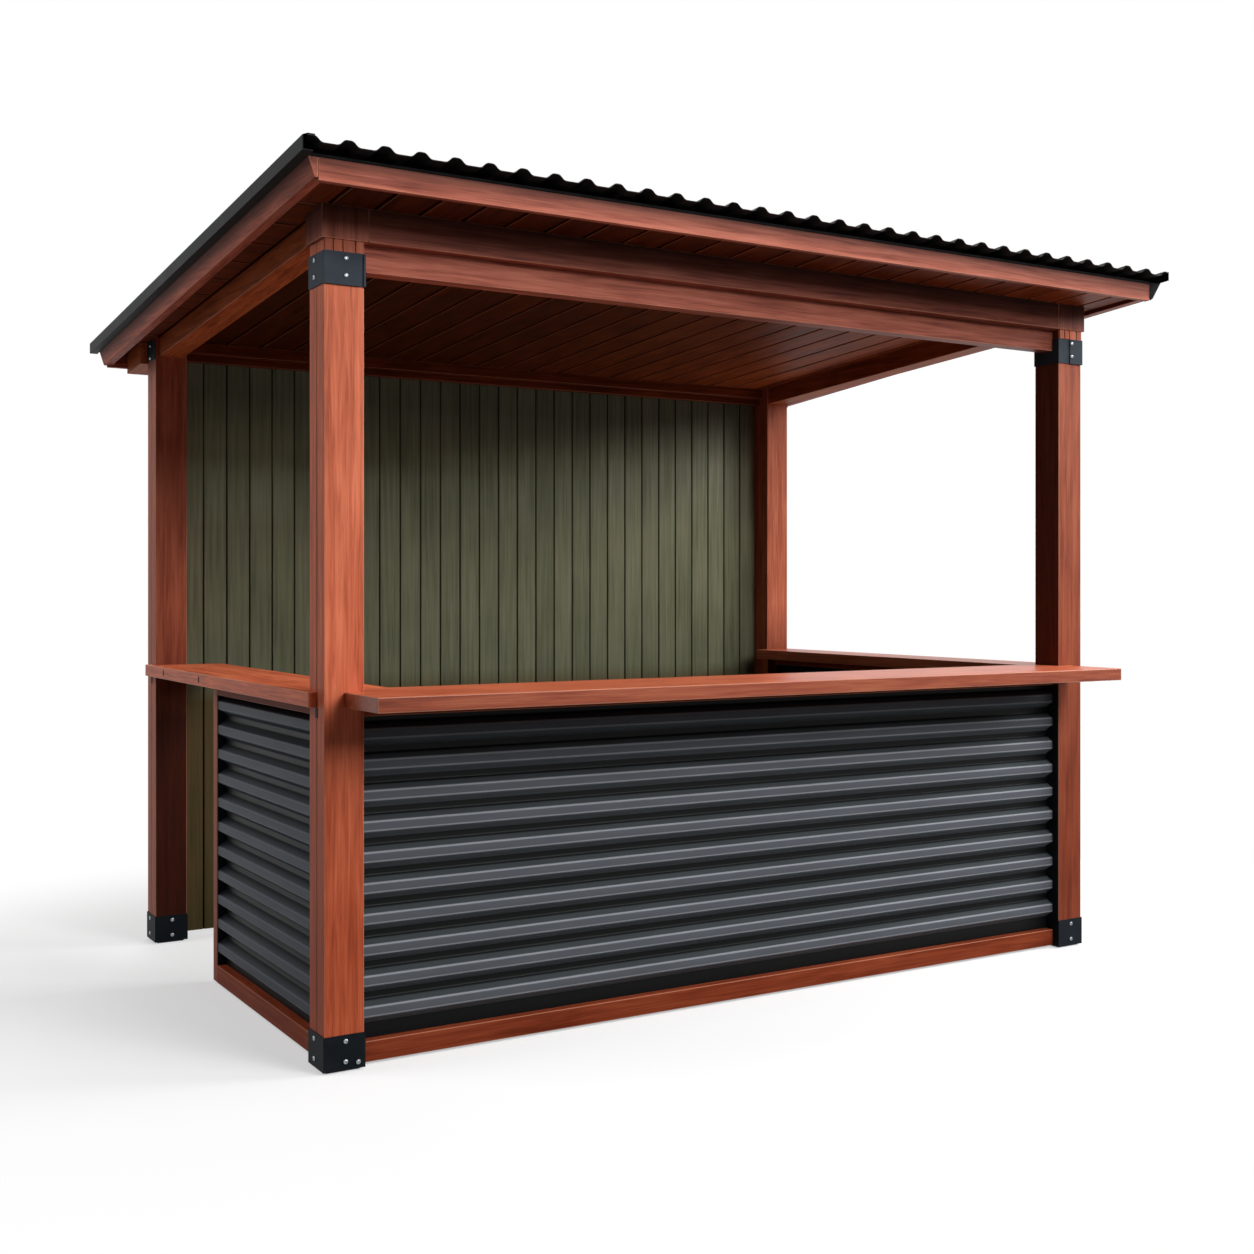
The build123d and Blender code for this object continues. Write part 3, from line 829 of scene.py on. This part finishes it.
def rib_section(start, end, first, pitch, half, slant, height, radius):
    """Top line of a sheet: ribs of foot, brow, brow, foot at first + i pitch, with soft corners.

    Two marks go with it. The first, a painted highlight, is 4 s (1 - s) along the bend at each brow and 0
    elsewhere, and the second, a painted bounce light, rises as s at the first foot, stays 1 up the flank and
    falls as 1 - s at the first brow."""
    count = int((end - first - half - slant) / pitch) + 1
    centres = first + pitch * np.arange(count)
    along = (centres[:, None] + np.array([-half - slant, -half, half, half + slant])).ravel()
    up = np.tile([0.0, height, height, 0.0], count)
    line = np.vstack([[start, 0.0], np.column_stack([along, up]), [end, 0.0]])
    s = np.linspace(0, 1, BEND_STEPS)
    bend = np.tile(BROW_HIGHLIGHT, count)[:, None] * (4 * s * (1 - s))[None]
    under = np.tile(np.stack([s, 1 - s, 0 * s, 0 * s]), (count, 1))
    marks = [np.concatenate([[0.0], values.ravel(), [0.0]]) for values in (bend, under)]
    return softened(line, radius), *marks


def doubled(line):
    """Closed section: the line and the same line one thickness lower, walked back."""
    return np.vstack([line, line[::-1] - np.array([0.0, SHEET])])


def smooth_bends(obj):
    """Smooth shading that still breaks at the sheet's cut edges."""
    obj.data.shade_smooth()
    obj.data.set_sharp_from_angle(angle=math.radians(40))
    return obj


print("sheet", SHEET, "m thick,", BEND_STEPS, "points to a bend")

# %% [markdown]
# ## Aprons
# The ribs lie level on all three aprons, so a section stands upright and is carried
# along the counter. The photograph shows a wider pitch at the front than at the
# sides. The back of a sheet has no painted highlight or bounce light, so its marks for bends and undersides
# are 0.

# %% Apron sheets
RIB = {"half": 0.01433, "slant": 0.01875, "height": 0.030, "radius": 0.0050}
APRONS = {"panel_front": (0.082, 0.0893), "panel_left": (0.062, 0.0840), "panel_right": (0.062, 0.0840)}
for node, (first, pitch) in APRONS.items():
    low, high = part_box(node)
    line, bend, under = rib_section(low.z, high.z, low.z + first, pitch, **RIB)
    height, depth = doubled(line).T
    rib = np.concatenate([line[:, 1], line[::-1, 1]]) / RIB["height"]
    bend, under = (np.concatenate([values, np.zeros_like(values)]) for values in (bend, under))
    if node == "panel_front":
        ring = np.column_stack([np.full_like(depth, low.x), low.y + RIB["height"] - depth, height])
        path = [(0, 0, 0), (high.x - low.x, 0, 0)]
    else:
        side = -1 if node == "panel_left" else 1
        flat_x = (low.x if side < 0 else high.x) - side * RIB["height"]
        ring = np.column_stack([flat_x + side * depth, np.full_like(depth, low.y), height])
        path = [(0, 0, 0), (0, high.y - low.y, 0)]
    coating = steel["apron" if node == "panel_front" else "side_apron"]
    sheet = dress(carried(node + "_sheet", ring[None], path, rib=rib, bend=bend, under=under), coating)
    join_in(smooth_bends(sheet), "panel_steel", node)
    print(node, "section points", len(ring))

# %% [markdown]
# ## Roof sheet
# The same section, lower and rounder, runs across the roof and is carried down its
# slope. It is made too wide and then cut at the verges, as on a real roof.

# %% Roof sheet
ROOF_RIB = {"half": 0.01163, "slant": 0.016, "height": 0.016, "radius": 0.0075}
ROOF_PITCH = 0.1041
SIDE_EAVE, FIRST_CREST = 0.162, 0.025
BED = 0.064
CREST_MARGIN = 0.02
sheet_low, sheet_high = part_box("roof_sheet")
first = LEFT - SIDE_EAVE + FIRST_CREST
span = first - 3 * ROOF_PITCH, -first + 4 * ROOF_PITCH
line, *_ = rib_section(*span, first - 2 * ROOF_PITCH, ROOF_PITCH, **ROOF_RIB)
kept = line[(line[:, 0] > sheet_low.x) & (line[:, 0] < sheet_high.x), 0]
across = np.concatenate([[sheet_low.x], kept, [sheet_high.x]])
up = np.interp(across, line[:, 0], line[:, 1]) + roof_line(sheet_low.y) + BED
loop = doubled(np.column_stack([across, up]))
ring = np.column_stack([loop[:, 0], np.full(len(loop), sheet_low.y), loop[:, 1]])
run = sheet_high.y - sheet_low.y
sheet = carried("roof_sheet_ribbed", ring[None], [(0, 0, 0), (0, run, -ROOF_FALL * run)])
join_in(smooth_bends(dress(sheet, steel["roof"])), "roof_steel", "roof_sheet")
crests = first + ROOF_PITCH * np.arange(len(line))
crests = crests[(crests > sheet_low.x + CREST_MARGIN) & (crests < sheet_high.x - CREST_MARGIN)]
print("roof sheet with", len(crests), "crests")

# %% [markdown]
# ## Post caps
# Over each front post sits a cap of upright boards, and the post's neck between the
# cap and the steel is faced with narrow strips. Their joints are the fine upright
# lines over the bracket.

# %% Caps and necks
NECK_JOINTS = np.array([0.0, 0.026, 0.054, 0.092, 0.120])
NECK_PROUD = 0.0050
NECK_GAP = 0.0036
CAP_EDGE, NECK_EDGE = 0.0025, 0.0008
for side in ("left", "right"):
    worked_copy(f"post_cap_{side}", timber["roof", 2], "timber", CAP_EDGE, timber["roof", 2, "arris"])
    neck_low, neck_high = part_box(f"bracket_front_{side}")[1].z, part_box(f"post_cap_{side}")[0].z
    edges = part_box(f"post_front_{side}")[0].x + NECK_JOINTS
    x0, x1 = edges[:-1] + NECK_GAP / 2, edges[1:] - NECK_GAP / 2
    ring_x = np.stack([x0, x1, x1, x0], 1)
    ring_y = np.tile([FRONT - NECK_PROUD, FRONT - NECK_PROUD, FRONT, FRONT], (len(x0), 1))
    rings = np.stack([ring_x, ring_y, np.full_like(ring_x, neck_low)], 2)
    neck = carried(f"neck_strips_{side}", rings, [(0, 0, 0), (0, 0, neck_high - neck_low)])
    timber_boards(neck, "post", 2, NECK_EDGE)
print("caps dressed, neck", round(neck_high - neck_low, 4), "m tall")

# %% [markdown]
# ## Small steel
# Laps on the front brackets, tabs under the counter at the posts, plugs in the left
# counter's edge and the black strips at the aprons' ends are all small flat plates.
# The strips are painted shade: dark sheets where there is only shade beside the sheets' ends.
# One function makes any number of them from their lowest and highest corners.

# %% Flat plates
CORNER_BITS = np.array([[i >> 2 & 1, i >> 1 & 1, i & 1] for i in range(8)])
PLATE_FACES = np.array([[0, 1, 3, 2], [4, 6, 7, 5], [0, 4, 5, 1], [2, 3, 7, 6], [0, 2, 6, 4], [1, 5, 7, 3]])
PLATE_EDGE = 0.0004


def small_plates(name, boxes, coating):
    """Flat plates: corner = low + bits x (high - low), with the eight corners as three bits each."""
    boxes = np.asarray(boxes, float)
    points = boxes[:, :1] + CORNER_BITS[None] * (boxes[:, 1:] - boxes[:, :1])
    faces = (np.arange(len(boxes)) * 8)[:, None, None] + PLATE_FACES[None]
    mesh = bpy.data.meshes.new(name)
    mesh.from_pydata(points.reshape(-1, 3), [], faces.reshape(-1, 4).tolist())
    plates = dress(bpy.data.objects.new(name, mesh), coating)
    return round_arrises(join_in(plates, "bracket_steel"), PLATE_EDGE, 1)


print("a plate has", len(PLATE_FACES), "faces")

# %% [markdown]
# ## Tabs, plugs, strips and laps
# The plates differ only in their corners. The left bracket has two laps with a slit
# between them, and the right one has a single lap.

# %% Small plates
TAB_HALF, TAB_THICK, TAB_LOW, TAB_HIGH = 0.009, 0.0015, 0.030, 0.002
PLUG_ROWS, PLUG_HALF, PLUG_PROUD, PLUG_LOW, PLUG_HIGH = (0.19, 0.66), 0.006, 0.0008, 0.012, 0.034
STRIP, STRIP_BACK, STUD_BACK = 0.0012, 0.005, 0.003
LAP, SLIT_FROM, SLIT_TO, RIGHT_LAP = 0.0035, 0.016, 0.007, 0.058
plates = []
counter_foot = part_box("counter_left")[0].z
for x_out, tab in ((LEFT, -1), (RIGHT, 1)):
    for y in (FRONT + POST / 2, BACK - POST / 2):
        x0, x1 = sorted((x_out, x_out + tab * TAB_THICK))
        plates.append(((x0, y - TAB_HALF, counter_foot - TAB_LOW),
                       (x1, y + TAB_HALF, counter_foot - TAB_HIGH)))
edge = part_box("counter_left")[0].x
for y in PLUG_ROWS:
    plates.append(((edge - PLUG_PROUD, y - PLUG_HALF, counter_foot + PLUG_LOW),
                   (edge, y + PLUG_HALF, counter_foot + PLUG_HIGH)))
# Painted shade: black strips at the aprons' ends stand for the shade between sheet and post.
stud_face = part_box("end_stud")[0].x
for node in APRONS:
    low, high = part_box(node)
    if node == "panel_front":
        near, far = FRONT + STRIP_BACK, high.y
        for x in (low.x, high.x - STRIP):
            plates.append(((x, near, low.z), (x + STRIP, far, high.z)))
    else:
        near, far = (stud_face + STUD_BACK, high.x) if node == "panel_left" else (low.x, RIGHT - STRIP_BACK)
        for y in (low.y, high.y - STRIP):
            plates.append(((near, y, low.z), (far, y + STRIP, high.z)))
small_plates("small_plates", plates, steel["hardware"])
for side in ("left", "right"):
    low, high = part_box(f"bracket_front_{side}")
    spans = [(low.x, high.x - SLIT_FROM), (high.x - SLIT_TO, high.x)]
    if side == "right":
        spans = [(low.x + RIGHT_LAP, high.x)]
    laps = [((near, low.y - LAP, low.z), (far, low.y, high.z)) for near, far in spans]
    small_plates(f"bracket_laps_{side}", laps, steel[f"bracket_{side}"])
print(len(plates), "small plates and the laps")

# %% [markdown]
# ## Screws
# Every shoe and bracket is held by pan-head screws. A head is a profile turned
# about its axis: a flat seat, a rounded rim, a low dome and a socket in the middle.

# %% Screw heads
HEAD_RADIUS = 0.0072
HEAD_PROFILE = HEAD_RADIUS * np.array(
    [[1.0, -0.08], [1.0, 0.18], [0.93, 0.36], [0.72, 0.50], [0.42, 0.56], [0.38, 0.22], [0.0, 0.20]])
TURNS = 20


def screw_heads(name, places, normals):
    """Turned heads: point = place + r (cos t u + sin t v) + h n, over the profile (r, h) and the turn t."""
    places, normals = np.asarray(places, float), np.asarray(normals, float)
    u = np.cross(normals, np.array([0.0, 0.0, 1.0]))
    u /= np.linalg.norm(u, axis=1)[:, None]
    v = np.cross(normals, u)
    t = np.linspace(0, 2 * np.pi, TURNS, endpoint=False)
    round_about = np.cos(t)[None, :, None] * u[:, None] + np.sin(t)[None, :, None] * v[:, None]
    r, h = HEAD_PROFILE.T
    points = (places[:, None, None] + r[None, :, None, None] * round_about[:, None]
              + h[None, :, None, None] * normals[:, None, None])
    index = np.arange(points[..., 0].size).reshape(points.shape[:3])
    near, far = index[:, :-1], index[:, 1:]
    quads = np.stack([near, np.roll(near, -1, 2), np.roll(far, -1, 2), far], -1).reshape(-1, 4)
    seats = index[:, 0, ::-1]
    mesh = bpy.data.meshes.new(name)
    mesh.from_pydata(points.reshape(-1, 3), [], quads.tolist() + seats.tolist())
    reworked(mesh, points_merged(1e-6), faces_outward)
    return bpy.data.objects.new(name, mesh)


print("a head is", round(2000 * HEAD_RADIUS, 1), "mm across")

# %% [markdown]
# ## Where the screws sit
# Two screws, one over the other, go through each face of a shoe or bracket that can
# be reached. The rear brackets and the rear right shoe have none at the front, where
# wall and apron are in the way. The front left shoe has one more.

# %% Post screws
SHOE_ROWS, BRACKET_ROWS = (0.030, 0.088), (0.066, 0.017)
FACE_SHIFT, SIDE_SHIFT = 0.003, 0.012
EXTRA_IN, EXTRA_UP = 0.022, 0.024
BARE_FRONT = "bracket_rear_left", "bracket_rear_right", "shoe_rear_right"
places, normals = [], []
for node in sorted(nodes):
    if not node.startswith(("shoe_", "bracket_")):
        continue
    low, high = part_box(node)
    middle = (low + high) / 2
    is_shoe = node.startswith("shoe")
    out, face_x = (-1, low.x) if "left" in node else (1, high.x)
    spots = []
    if node == "shoe_front_left":
        spots.append(((high.x - EXTRA_IN, low.y, low.z + EXTRA_UP), (0, -1, 0)))
    for z in [low.z + row for row in SHOE_ROWS] if is_shoe else [high.z - row for row in BRACKET_ROWS]:
        if node not in BARE_FRONT:
            spots.append(((middle.x + FACE_SHIFT, low.y - (0.0 if is_shoe else LAP), z), (0, -1, 0)))
        if node.startswith("shoe_rear"):
            spots.append(((middle.x + FACE_SHIFT, high.y, z), (0, 1, 0)))
        spots.append(((face_x, middle.y + SIDE_SHIFT, z), (out, 0, 0)))
    places += [place for place, _ in spots]
    normals += [normal for _, normal in spots]
screws = dress(screw_heads("screw_heads", places, normals), zinc_plate)
join_in(smooth_bends(screws), "bracket_steel")
print(len(places), "screws")

# %% [markdown]
# ## Roof screws
# A ribbed roof is screwed down through its crests, where water does not stand. There
# is a screw on every second crest over each of the three battens, in the colour of
# the sheet.

# %% Roof screws
upward = np.array([0.0, ROOF_FALL, 1.0]) / math.hypot(ROOF_FALL, 1.0)
places = []
for batten in ("roof_batten_1", "roof_batten_2", "roof_batten_3"):
    low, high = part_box(batten)
    y = (low.y + high.y) / 2
    places += [(x, y, roof_line(y) + BED + ROOF_RIB["height"]) for x in crests[::2]]
roof_screws = screw_heads("roof_screws", places, np.tile(upward, (len(places), 1)))
join_in(smooth_bends(dress(roof_screws, steel["roof"])), "roof_steel")
print(len(places), "roof screws")

# %% [markdown]
# ## Floor
# The picture is a studio shot on white. The floor is a plain pale sheet that keeps
# the shadow and fades to white round the pavilion. It is pale to the camera and in
# reflections, and grey for bounced light, so that it does not light the pavilion.

# %% Floor
FLOOR_HALF = 30.0
FADE_SQUASH, FADE_FROM, FADE_TO = 0.77, 1.5, 2.9
FLOOR_GLOW = 0.46
FLOOR_GREY, BOUNCE_GREY, WHITE = (0.57, 0.57, 0.57, 1), (0.16, 0.16, 0.16, 1), (1, 1, 1, 1)


def seen_directly(tree):
    """1 for rays from the camera, from gloss and through glass, else 0."""
    path = add(tree, "LightPath").outputs
    seen = path["Is Camera Ray"]
    for ray in ("Is Glossy Ray", "Is Transmission Ray"):
        seen = add(tree, "Math", {0: seen, 1: path[ray]}, operation="MAXIMUM").outputs[0]
    return seen


mesh = bpy.data.meshes.new("floor")
corners = np.array([(-1, -1, 0), (1, -1, 0), (1, 1, 0), (-1, 1, 0)]) * FLOOR_HALF
mesh.from_pydata(corners, [], [(0, 1, 2, 3)])
floor = bpy.data.objects.new("floor", mesh)
bpy.context.scene.collection.objects.link(floor)
material, tree, shader, place = blank("pale_floor")
tree.nodes.remove(shader)
squashed = stretched(tree, place, (FADE_SQUASH, 1.0, 1.0))
away = add(tree, "VectorMath", {0: squashed}, operation="LENGTH").outputs["Value"]
reach = {"Value": away, "From Min": FADE_FROM, "From Max": FADE_TO}
fade = add(tree, "MapRange", reach, interpolation_type="SMOOTHSTEP").outputs["Result"]
lit = add(tree, "BsdfDiffuse", {"Color": FLOOR_GREY}).outputs[0]
glow = add(tree, "Emission", {"Color": WHITE, "Strength": FLOOR_GLOW}).outputs[0]
shown = add(tree, "AddShader", {0: lit, 1: glow}).outputs[0]
white = add(tree, "Emission", {"Color": WHITE, "Strength": 1.0}).outputs[0]
shown = add(tree, "MixShader", {0: fade, 1: shown, 2: white}).outputs[0]
hidden = add(tree, "BsdfDiffuse", {"Color": BOUNCE_GREY}).outputs[0]
whole = add(tree, "MixShader", {0: seen_directly(tree), 1: hidden, 2: shown}).outputs[0]
tree.links.new(whole, tree.nodes["Material Output"].inputs["Surface"])
floor.data.materials.append(material)
print("floor", FLOOR_HALF * 2, "m across")

# %% [markdown]
# ## Light
# Two broad lamps stand high at the front, a stronger one high on the right, and weaker
# ones on the left and behind, all aimed at the pavilion's middle. A small lamp low on
# the right stands for the light that the floor throws under the roof there. The world
# adds a faint fill, and shows white only to the camera and in reflections.

# %% Light
FILL_TONE, FILL = (0.97, 0.98, 1.0, 1), 0.08
AIM = (0.0, -0.6, 1.0)
LAMPS = [
    ("key_right", (3.4, -7.0, 5.4), AIM, 4.0, 330),
    ("front_high", (1.5, -7.2, 5.0), AIM, 3.0, 270),
    ("right_side", (9.5, -4.0, 6.0), AIM, 4.5, 860),
    ("left_side", (-6.0, 1.2, 6.0), AIM, 3.0, 140),
    ("back_high", (0.5, 8.0, 5.0), AIM, 4.0, 260),
    ("floor_bounce_right", (3.3, 0.5, 0.4), (1.2, 0.3, 2.3), 1.2, 22),
]
scene = bpy.context.scene
scene.view_settings.view_transform = "Standard"
world = bpy.data.worlds.new("studio")
world.use_nodes = True
scene.world = world
tree = world.node_tree
tree.nodes.clear()
fill = add(tree, "Background", {"Color": FILL_TONE, "Strength": FILL}).outputs[0]
white = add(tree, "Background", {"Color": WHITE, "Strength": 1.0}).outputs[0]
both = add(tree, "MixShader", {0: seen_directly(tree), 1: fill, 2: white}).outputs[0]
tree.links.new(both, add(tree, "OutputWorld").inputs["Surface"])
for name, place, aim, size, power in LAMPS:
    lamp = bpy.data.lights.new(name, "AREA")
    lamp.size, lamp.energy = size, power
    obj = bpy.data.objects.new(name, lamp)
    obj.location = place
    x, y, z = np.subtract(aim, place)
    obj.rotation_euler = (math.pi / 2 + math.atan2(z, math.hypot(x, y)), 0, -math.atan2(x, y))
    scene.collection.objects.link(obj)
print("lamps", [lamp[0] for lamp in LAMPS])
